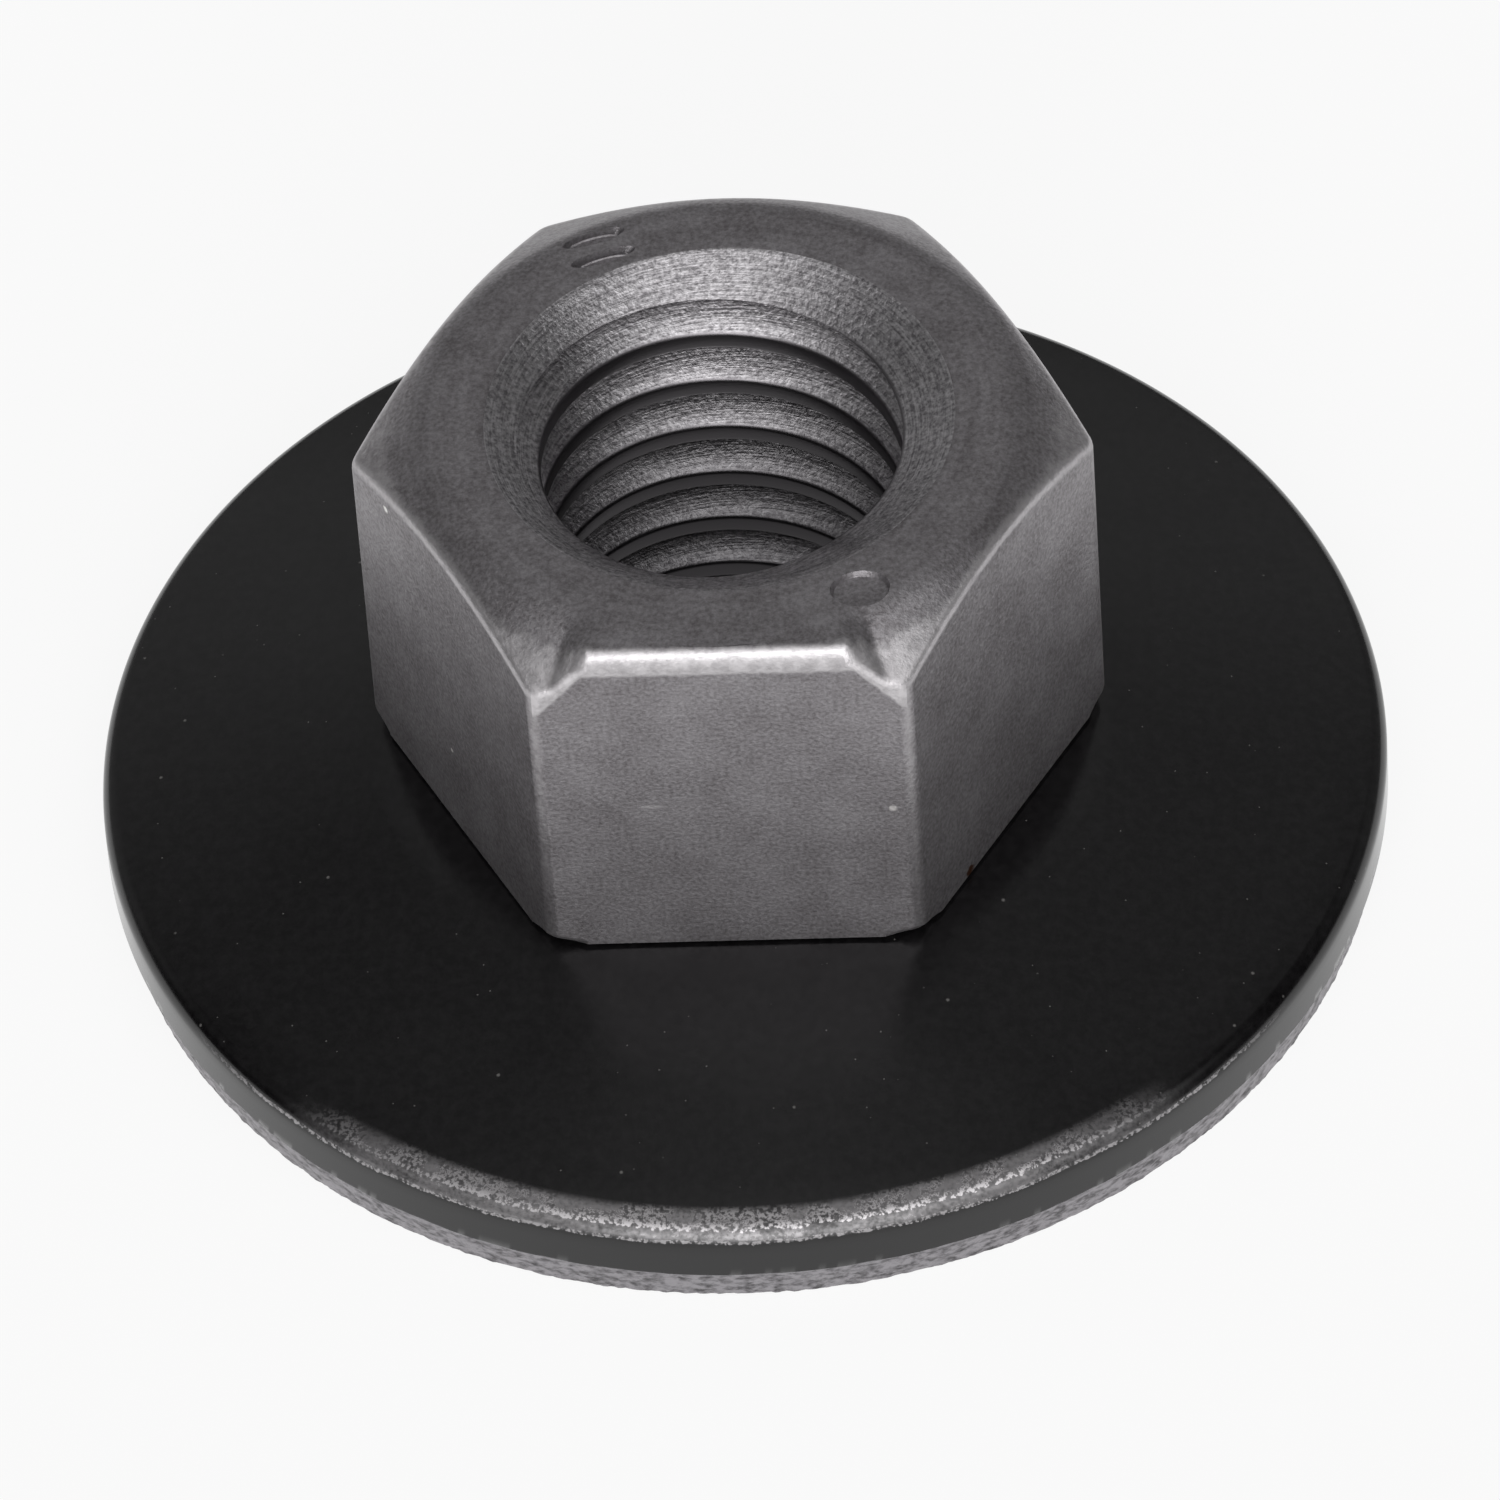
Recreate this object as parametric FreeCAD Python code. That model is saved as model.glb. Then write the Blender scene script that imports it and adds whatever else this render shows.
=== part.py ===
"""Hexagon nut with a captive conical washer, in millimetres.

The origin is the middle of the washer's lower rim plane and +Z runs up the thread's axis.
The nut is one piece: a hexagon head and a collar that passes through the washer's hole and is
flared out underneath. The washer is one dished stamping that turns freely on the collar.
"""

import FreeCAD, Part

import math
import os

Vector = FreeCAD.Vector

# Thread: a coarse metric thread, whose crests stand at the diameter of the hole it is cut in
THREAD_D = 8.0
THREAD_PITCH = 1.25
MINOR_DROP_PER_PITCH = 1.0
COUNTERSINK_OVERSIZE = 0.72
COUNTERSINK_ANGLE = 120.0

# Hexagon head
ACROSS_FLATS = 12.0
HEX_HEIGHT = 7.8
CORNER_ROUND = 0.32
TOP_CHAMFER_INSET = 0.48
TOP_CHAMFER_ANGLE = 35.0
FOOT_CORNER_CUT = 0.32
FOOT_CHAMFER_ANGLE = 30.0

# Collar through the washer, and its flared skirt
COLLAR_WALL = 0.96
SKIRT_WALL = 0.64
SKIRT_STRAIGHT = 0.24
FLARE_ANGLE = 45.0
FLARE_HOLD = 0.44
LIP_ROUND = 0.12

# Clearances that let the washer turn on the nut
COLLAR_CLEARANCE = 0.2
SEAT_CLEARANCE = 0.08
FLARE_CLEARANCE = 0.24

# Conical washer
WASHER_D = 24.3
WASHER_THICKNESS = 1.88
WASHER_DISH = 1.2
SEAT_WIDTH = 1.0
BEND_RADIUS = 4.8
EDGE_ROUND = 0.4
FRACTURE_HEIGHT = 0.76
FRACTURE_TAPER = 0.16
RIM_LAND = 0.24
HOLE_TOP_BREAK = 0.2
HOLE_FOOT_CHAMFER = 0.48

# Thread and hexagon sizes that follow
MINOR_R = (THREAD_D - MINOR_DROP_PER_PITCH * THREAD_PITCH) / 2
COUNTERSINK_R = (THREAD_D + COUNTERSINK_OVERSIZE) / 2
COUNTERSINK_RISE = 1 / math.tan(math.radians(COUNTERSINK_ANGLE / 2))
FLAT_R = ACROSS_FLATS / 2
CORNER_R = FLAT_R / math.cos(math.pi / 6)

# Collar sizes that follow from the thread, and the hole that runs on it
COLLAR_R = THREAD_D / 2 + COLLAR_WALL
SKIRT_R = COLLAR_R - SKIRT_WALL
HOLE_R = COLLAR_R + COLLAR_CLEARANCE
HOLE_FOOT_R = HOLE_R + HOLE_FOOT_CHAMFER

# Washer sizes that follow, worked out upwards from the rim plane
EDGE_R = WASHER_D / 2
RIM_R = EDGE_R - FRACTURE_TAPER
SEAT_R = HOLE_FOOT_R + SEAT_WIDTH
SLOPE = WASHER_DISH / (EDGE_R - SEAT_R)
CONE_WALL = WASHER_THICKNESS * math.hypot(1, SLOPE)
UNDER_CONE_R = RIM_R - RIM_LAND
SEAT_Z = SLOPE * (UNDER_CONE_R - SEAT_R) + CONE_WALL
UNDER_Z = SEAT_Z - WASHER_THICKNESS
UNDER_BEND_R = UNDER_CONE_R - UNDER_Z / SLOPE
EDGE_TOP_Z = SEAT_Z - WASHER_DISH

# Heights of the nut, which sits on the washer's flat
BEARING_Z = SEAT_Z + SEAT_CLEARANCE
TOP_Z = BEARING_Z + HEX_HEIGHT


def point(radius, height):
    """Return the point of a half section at a radius and a height."""
    return Vector(radius, 0, height)


def rounded_corner(before, corner, after, radius):
    """Return the start, middle and end of the arc that rounds one corner of a half section."""
    towards_before = (before - corner).normalize()
    towards_after = (after - corner).normalize()
    half_angle = towards_before.getAngle(towards_after) / 2
    inwards = (towards_before + towards_after).normalize()
    reach = radius / math.tan(half_angle)
    centre = corner + inwards * (radius / math.sin(half_angle))
    return corner + towards_before * reach, centre - inwards * radius, corner + towards_after * reach


def revolved(half_section):
    """Turn a closed half section about the Z axis.

    Each corner is (radius, height), or (radius, height, round) where the corner is rounded.
    """
    points = [point(corner[0], corner[1]) for corner in half_section]
    last = len(points) - 1
    edges = []
    first_end = None
    line_start = None
    for index, corner in enumerate(half_section):
        start = end = points[index]
        arc = None
        if len(corner) == 3:
            after = points[0] if index == last else points[index + 1]
            start, middle, end = rounded_corner(points[index - 1], points[index], after, corner[2])
            arc = Part.Arc(start, middle, end).toShape()
        if line_start is None:
            first_end = start
        else:
            edges.append(Part.makeLine(line_start, start))
        if arc is not None:
            edges.append(arc)
        line_start = end
    edges.append(Part.makeLine(line_start, first_end))
    return Part.Face(Part.Wire(edges)).revolve(Vector(0, 0, 0), Vector(0, 0, 1), 360)


def flare_lines():
    """Work out the flared skirt's section beside the chamfer under the washer's hole.

    The flare's outer face runs parallel to that chamfer at the flare clearance. Returns the height
    where the outer face leaves the collar, the lip's outer corner, the lip's inner corner and the
    height where the inner face leaves the skirt's bore.
    """
    angle = math.radians(FLARE_ANGLE)
    along_r, along_z = math.sin(angle), -math.cos(angle)
    normal_r, normal_z = -math.cos(angle), -math.sin(angle)

    # A point on the flare's outer face, straight across the gap from the chamfer's lower corner
    start_r = HOLE_FOOT_R + normal_r * FLARE_CLEARANCE
    start_z = UNDER_Z + normal_z * FLARE_CLEARANCE
    fall = along_z / along_r
    leave_z = start_z + (COLLAR_R - start_r) * fall
    lip_r = HOLE_R + FLARE_HOLD
    lip_z = start_z + (lip_r - start_r) * fall
    inner_r = lip_r + normal_r * SKIRT_WALL
    inner_z = lip_z + normal_z * SKIRT_WALL
    inner_leave_z = inner_z + (SKIRT_R - inner_r) * fall
    return leave_z, (lip_r, lip_z), (inner_r, inner_z), inner_leave_z


def make_hexagon():
    """Make the hexagon head, with its top chamfer and the cut corners of its foot."""
    corners = []
    for step in range(6):
        angle = math.radians(60 * step)
        corners.append(Vector(CORNER_R * math.cos(angle), CORNER_R * math.sin(angle), BEARING_Z))
    prism = Part.Face(Part.makePolygon(corners + corners[:1])).extrude(Vector(0, 0, HEX_HEIGHT))
    upright = [edge for edge in prism.Edges if edge.BoundBox.ZLength > HEX_HEIGHT / 2]
    prism = prism.makeFillet(CORNER_ROUND, upright)

    # The turned shape that cuts the corners: a cone at the top and a short one at the foot
    top_face_r = FLAT_R - TOP_CHAMFER_INSET
    foot_face_r = CORNER_R - FOOT_CORNER_CUT
    top_fall = math.tan(math.radians(TOP_CHAMFER_ANGLE))
    foot_rise = math.tan(math.radians(FOOT_CHAMFER_ANGLE))
    turned = revolved([
        (0, BEARING_Z),
        (foot_face_r, BEARING_Z),
        (CORNER_R, BEARING_Z + (CORNER_R - foot_face_r) * foot_rise),
        (CORNER_R, TOP_Z - (CORNER_R - top_face_r) * top_fall),
        (top_face_r, TOP_Z),
        (0, TOP_Z),
    ])
    return prism.common(turned)


def make_collar():
    """Make the solid collar and the outside of its flared skirt."""
    leave_z, lip, inner_lip, _ = flare_lines()
    overlap = HEX_HEIGHT / 2
    return revolved([
        (0, BEARING_Z + overlap),
        (COLLAR_R, BEARING_Z + overlap),
        (COLLAR_R, leave_z),
        (*lip, LIP_ROUND),
        inner_lip,
        (0, inner_lip[1]),
    ])


def make_bore():
    """Make the shape of the tapped hole: both countersinks, the thread's crests and the skirt."""
    _, _, inner_lip, inner_leave_z = flare_lines()
    skirt_top_z = inner_leave_z + SKIRT_STRAIGHT
    thread_foot_z = skirt_top_z + (SKIRT_R - MINOR_R) * COUNTERSINK_RISE
    thread_top_z = TOP_Z - (COUNTERSINK_R - MINOR_R) * COUNTERSINK_RISE
    return revolved([
        (0, inner_lip[1]),
        inner_lip,
        (SKIRT_R, inner_leave_z),
        (SKIRT_R, skirt_top_z),
        (MINOR_R, thread_foot_z),
        (MINOR_R, thread_top_z),
        (COUNTERSINK_R, TOP_Z),
        (0, TOP_Z),
    ])


def make_hex_nut():
    """Make the whole nut: the head and collar in one piece, bored through."""
    nut = make_hexagon().fuse(make_collar()).removeSplitter()
    return nut.cut(make_bore())


def make_conical_washer():
    """Make the dished washer: a flat seat round the hole, then a cone down to the rim."""
    return revolved([
        (HOLE_R, UNDER_Z + HOLE_FOOT_CHAMFER),
        (HOLE_FOOT_R, UNDER_Z),
        (UNDER_BEND_R, UNDER_Z, BEND_RADIUS - WASHER_THICKNESS),
        (UNDER_CONE_R, 0),
        (RIM_R, 0),
        (EDGE_R, FRACTURE_HEIGHT),
        (EDGE_R, EDGE_TOP_Z, EDGE_ROUND),
        (SEAT_R, SEAT_Z, BEND_RADIUS),
        (HOLE_R + HOLE_TOP_BREAK, SEAT_Z),
        (HOLE_R, SEAT_Z - HOLE_TOP_BREAK),
    ])


def main():
    """Build both pieces and write one file for each."""
    os.makedirs("parts", exist_ok=True)
    pieces = {
        "hex_nut": make_hex_nut(),
        "conical_washer": make_conical_washer(),
    }
    for name, shape in pieces.items():
        solid = shape.Solids[0]
        box = solid.BoundBox
        print(
            f"{name}: {len(shape.Solids)} solid, valid {solid.isValid()}, "
            f"volume {solid.Volume:.2f} mm3, z {box.ZMin:.3f} to {box.ZMax:.3f}"
        )
        solid.exportStep(f"parts/{name}.step")
    gap = pieces["hex_nut"].distToShape(pieces["conical_washer"])[0]
    print(f"bearing plane z {BEARING_Z:.3f}, least gap between the pieces {gap:.3f} mm")


main()
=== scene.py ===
"""A hexagon nut with its captive conical washer, dressed and lit as the photograph shows it.

Both pieces stand for their plain solids with finer meshes. The nut gets its cut thread, softened
edges, steep front edge and stamped marks, and the washer gets the torn band of its sheared edge.
Sizes are given in millimetres and meshes are made in metres.
"""

import logging
import math
from collections.abc import Callable, Sequence
from dataclasses import dataclass
from enum import Enum
from functools import partial

import bmesh
import bpy
from mathutils import Matrix, Vector


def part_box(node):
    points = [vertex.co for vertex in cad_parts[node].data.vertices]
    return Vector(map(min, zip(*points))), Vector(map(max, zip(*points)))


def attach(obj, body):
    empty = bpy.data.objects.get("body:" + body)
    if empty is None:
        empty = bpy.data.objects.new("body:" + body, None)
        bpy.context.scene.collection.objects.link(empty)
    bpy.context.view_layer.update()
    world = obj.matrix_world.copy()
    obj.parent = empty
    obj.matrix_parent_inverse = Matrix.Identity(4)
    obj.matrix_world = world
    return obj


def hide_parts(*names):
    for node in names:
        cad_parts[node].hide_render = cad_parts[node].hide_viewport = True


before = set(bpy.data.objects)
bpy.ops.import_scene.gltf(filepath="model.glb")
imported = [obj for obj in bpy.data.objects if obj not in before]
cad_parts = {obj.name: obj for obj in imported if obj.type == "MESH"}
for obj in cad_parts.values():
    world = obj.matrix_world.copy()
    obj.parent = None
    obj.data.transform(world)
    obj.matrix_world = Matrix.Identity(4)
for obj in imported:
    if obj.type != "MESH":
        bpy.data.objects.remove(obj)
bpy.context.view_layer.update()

log = logging.getLogger("machine_nut")

MM = 0.001
# Points nearer to each other than this are one point, in metres
MERGE = 0.0004 * MM
# Edges that turn by more than this many degrees count as sharp
SHARP_EDGE = 28.0
# How far the tap reaches beyond the nut at either end, in millimetres
TAP_OVERRUN = 0.6
# How far up its bore the flared skirt keeps its forged skin, in millimetres
SKIRT_SKIN = 1.0

Point = tuple[float, float, float]
Rgba = tuple[float, float, float, float]
Piece = bpy.types.Object
Socket = bpy.types.NodeSocket
AddNode = Callable[..., Socket]

# Settings of a Mix node that blends two colours, and of a Map Range node with soft ends
BLEND = {"output": 2, "data_type": "RGBA"}
SOFT = {"interpolation_type": "SMOOTHSTEP"}


def linear(hex_colour: str) -> Rgba:
    """Turn an sRGB colour to linear light.

    Args:
        hex_colour: the colour as "#rrggbb".

    Returns:
        The linear red, green, blue and a full alpha.
    """
    channels = [int(hex_colour[start:start + 2], 16) / 255 for start in (1, 3, 5)]
    red, green, blue = (
        share / 12.92 if share <= 0.04045 else ((share + 0.055) / 1.055) ** 2.4
        for share in channels
    )
    return red, green, blue, 1.0


def per_mm(feature: float) -> float:
    """Return the pattern scale at which one feature is this many millimetres wide."""
    return 1 / (feature * MM)


def metres(*values: float) -> Point:
    """Turn a place in millimetres to metres."""
    x, y, z = (value * MM for value in values)
    return x, y, z


def add_node(
    tree: bpy.types.NodeTree,
    kind: str,
    inputs: dict[int | str, object] | Sequence[object] = (),
    output: int | str = 0,
    **settings: object,
) -> Socket:
    """Add one node with its settings and links.

    Args:
        tree: the node tree that takes the node.
        kind: the node's type name without "ShaderNode", and its operation where it has one.
        inputs: what feeds the inputs, in order or by name: a socket or a value each.
        output: which of the node's outputs is wanted.
        settings: the node's own settings.

    Returns:
        The wanted output socket, or the node's first input where it has no output.
    """
    kind, _, operation = kind.partition(" ")
    node = tree.nodes.new("ShaderNode" + kind)
    if operation:
        node.operation = operation
    for name, value in settings.items():
        setattr(node, name, value)
    for key, value in inputs.items() if isinstance(inputs, dict) else enumerate(inputs):
        if isinstance(value, Socket):
            tree.links.new(value, node.inputs[key])
        else:
            node.inputs[key].default_value = value
    return node.outputs[output] if node.outputs else node.inputs[0]


def new_material(name: str) -> tuple[bpy.types.Material, AddNode]:
    """Start an empty material.

    Args:
        name: the material's name.

    Returns:
        The material, and add_node bound to its tree.
    """
    material = bpy.data.materials.new(name)
    material.use_nodes = True
    material.node_tree.nodes.clear()
    return material, partial(add_node, material.node_tree)


def take_up(piece: Piece) -> None:
    """Select one piece alone and make it the active one.

    Args:
        piece: the piece to work on next.
    """
    bpy.ops.object.select_all(action="DESELECT")
    piece.select_set(True)
    bpy.context.view_layer.objects.active = piece


def merge_points(piece: Piece) -> None:
    """Open a piece in edit mode and merge its points that lie together, with all of it selected.

    Args:
        piece: the piece to open.
    """
    take_up(piece)
    bpy.ops.object.mode_set(mode="EDIT")
    bpy.ops.mesh.select_all(action="SELECT")
    bpy.ops.mesh.remove_doubles(threshold=MERGE)


def apply_modifier(piece: Piece, kind: str, **settings: object) -> None:
    """Give a piece one modifier and apply it.

    Args:
        piece: the piece to change.
        kind: the modifier's type name.
        settings: the modifier's own settings.
    """
    take_up(piece)
    modifier = piece.modifiers.new(kind, kind)
    for name, value in settings.items():
        setattr(modifier, name, value)
    bpy.ops.object.modifier_apply(modifier=modifier.name)


class Cut(Enum):
    """How a tool acts on a piece."""

    REMOVE = "DIFFERENCE"
    KEEP_SHARED = "INTERSECT"


def cut(piece: Piece, tool: Piece, how: Cut) -> None:
    """Cut a piece with a tool and throw the tool away.

    Args:
        piece: the piece to cut.
        tool: the shape that cuts it.
        how: whether the tool's inside is taken away or kept.
    """
    apply_modifier(piece, "BOOLEAN", object=tool, operation=how.value, solver="MANIFOLD")
    bpy.data.objects.remove(tool)


@dataclass(frozen=True)
class Corner:
    """A corner of a half section.

    Attributes:
        radius: distance from the thread's axis.
        height: height above the washer's lower rim plane.
        bend: radius that rounds the corner, or 0 where it is sharp.
        bend_rows: rows of faces round the bend.
        rows: rows of faces on the run from here to the next corner.
    """

    radius: float
    height: float
    bend: float = 0.0
    bend_rows: int = 1
    rows: int = 1

    def place(self) -> Vector:
        """Return the corner's place in metres."""
        return Vector(metres(self.radius, 0, self.height))

    def points(self, before: Vector, after: Vector) -> list[Vector]:
        """Work out the points that draw this corner.

        Args:
            before: the corner before this one.
            after: the corner after it.

        Returns:
            The points round the bend, or the sharp corner alone.
        """
        corner = self.place()
        if self.bend == 0:
            return [corner]
        to_before = (before - corner).normalized()
        to_after = (after - corner).normalized()
        half_angle = to_before.angle(to_after) / 2
        reach = self.bend * MM / math.tan(half_angle)
        inwards = (to_before + to_after).normalized()
        centre = corner + inwards * (self.bend * MM / math.sin(half_angle))
        start = corner + to_before * reach - centre
        end = corner + to_after * reach - centre
        shares = [row / self.bend_rows for row in range(self.bend_rows + 1)]
        return [centre + start.slerp(end, share) * self.bend * MM for share in shares]


def half_section(corners: Sequence[Corner], closed: bool) -> list[Vector]:
    """Work out the points of a half section.

    Args:
        corners: its corners in order.
        closed: whether the last corner runs on to the first.

    Returns:
        The points in order, the first one again at the end where it is closed.
    """
    places = [corner.place() for corner in corners]
    count = len(corners)
    bends = [
        corner.points(places[index - 1], places[(index + 1) % count])
        for index, corner in enumerate(corners)
    ]
    points = []
    for index, corner in enumerate(corners):
        points.extend(bends[index])
        if closed or index < count - 1:
            start, end = bends[index][-1], bends[(index + 1) % count][0]
            points.extend(start.lerp(end, row / corner.rows) for row in range(1, corner.rows))
    if closed:
        points.append(points[0])
    return points


def draw_line(name: str, points: Sequence[Vector]) -> Piece:
    """Draw a line by extruding one point, and leave it in edit mode.

    Args:
        name: the new piece's name.
        points: where the line goes.

    Returns:
        The piece that holds the line.
    """
    bpy.ops.mesh.primitive_plane_add(size=MM, location=(0, 0, 0))
    piece = bpy.context.object
    piece.name = name
    bpy.ops.object.mode_set(mode="EDIT")
    bpy.ops.mesh.select_mode(type="VERT")
    bpy.ops.mesh.merge(type="CENTER")
    bpy.ops.transform.translate(value=points[0])
    for before, after in zip(points, points[1:]):
        bpy.ops.mesh.extrude_vertices_move(TRANSFORM_OT_translate={"value": after - before})
    return piece


def wind(piece: Piece, steps: int, rise: float = 0.0, turns: int = 1) -> None:
    """Wind a drawn line about the thread's axis, and leave it in object mode.

    Args:
        piece: the piece that holds the line.
        steps: how many steps each turn takes.
        rise: how far each turn climbs.
        turns: how many turns it makes.
    """
    bpy.ops.object.mode_set(mode="OBJECT")
    apply_modifier(
        piece,
        "SCREW",
        angle=math.tau,
        screw_offset=rise * MM,
        iterations=turns,
        steps=steps,
        render_steps=steps,
        use_merge_vertices=True,
        merge_threshold=MERGE,
    )


def turn(name: str, corners: Sequence[Corner], steps: int, closed: bool = False) -> Piece:
    """Turn a half section about the thread's axis.

    Args:
        name: the new piece's name.
        corners: the section's corners, which start and end on the axis unless it is closed.
        steps: how many steps the full turn takes.
        closed: whether the last corner runs on to the first.

    Returns:
        The turned piece, a closed shell whose faces point outwards.
    """
    piece = draw_line(name, half_section(corners, closed))
    wind(piece, steps)
    merge_points(piece)
    bpy.ops.mesh.normals_make_consistent(inside=False)
    bpy.ops.object.mode_set(mode="OBJECT")
    return piece


def smooth(piece: Piece, angle: float) -> None:
    """Shade a finished piece smooth, with flat faces kept flat up to their edges.

    Args:
        piece: the piece to shade.
        angle: edges that turn by more than this many degrees stay crisp.
    """
    take_up(piece)
    bpy.ops.object.shade_smooth_by_angle(angle=math.radians(angle))
    apply_modifier(piece, "WEIGHTED_NORMAL", keep_sharp=True, weight=80)


def select_edges(piece: Piece, wanted: Callable[[Vector, Vector], bool]) -> None:
    """Select the sharp edges that lie where they are wanted, in edit mode.

    Args:
        piece: the piece, which is in edit mode.
        wanted: tells by an edge's two ends, in metres, whether to select it.
    """
    bpy.ops.mesh.select_all(action="DESELECT")
    bpy.ops.mesh.select_mode(type="EDGE")
    bpy.ops.mesh.edges_select_sharp(sharpness=math.radians(SHARP_EDGE))
    shape = bmesh.from_edit_mesh(piece.data)
    for edge in shape.edges:
        start, end = (corner.co for corner in edge.verts)
        if edge.select and not wanted(start, end):
            edge.select_set(False)
    bmesh.update_edit_mesh(piece.data)


@dataclass(frozen=True)
class Stamp:
    """A plain oval mark, pressed into the top face with sloping walls.

    Attributes:
        east: its middle's place along X.
        north: its middle's place along Y.
        length: how long it is.
        width: how wide it is.
        turned: how far its length is turned from X, in degrees.
        depth: how deep it is pressed.
    """

    east: float
    north: float
    length: float
    width: float
    turned: float
    depth: float = 0.11

    def punch(self, top: float) -> Piece:
        """Make the punch that presses the mark.

        Args:
            top: the height of the top face.

        Returns:
            The punch, with its sloping nose at the mark's depth.
        """
        overrun = 0.3
        middle = metres(self.east, self.north, top + (overrun - self.depth) / 2)
        bpy.ops.mesh.primitive_cylinder_add(
            vertices=40, radius=0.5, depth=1.0, location=middle, rotation=(0, 0, math.radians(self.turned))
        )
        punch = bpy.context.object
        punch.scale = metres(self.length, self.width, overrun + self.depth)
        bpy.ops.object.transform_apply(location=True, rotation=True, scale=True)
        bpy.ops.object.mode_set(mode="EDIT")
        bpy.ops.mesh.select_all(action="DESELECT")
        bpy.ops.mesh.select_mode(type="FACE")
        shape = bmesh.from_edit_mesh(punch.data)
        for face in shape.faces:
            face.select_set(face.normal.z < -0.9)
        bpy.ops.mesh.inset(thickness=0.1 * self.width * MM)
        bpy.ops.transform.translate(value=metres(0, 0, -0.02))
        bpy.ops.mesh.select_all(action="DESELECT")
        for face in shape.faces:
            face.select_set(face.normal.z > 0.9)
        flare = 1 + 2 * (overrun + self.depth) / (self.length + self.width)
        bpy.ops.transform.resize(value=(flare, flare, 1), center_override=middle)
        bpy.ops.object.mode_set(mode="OBJECT")
        return punch


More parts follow.
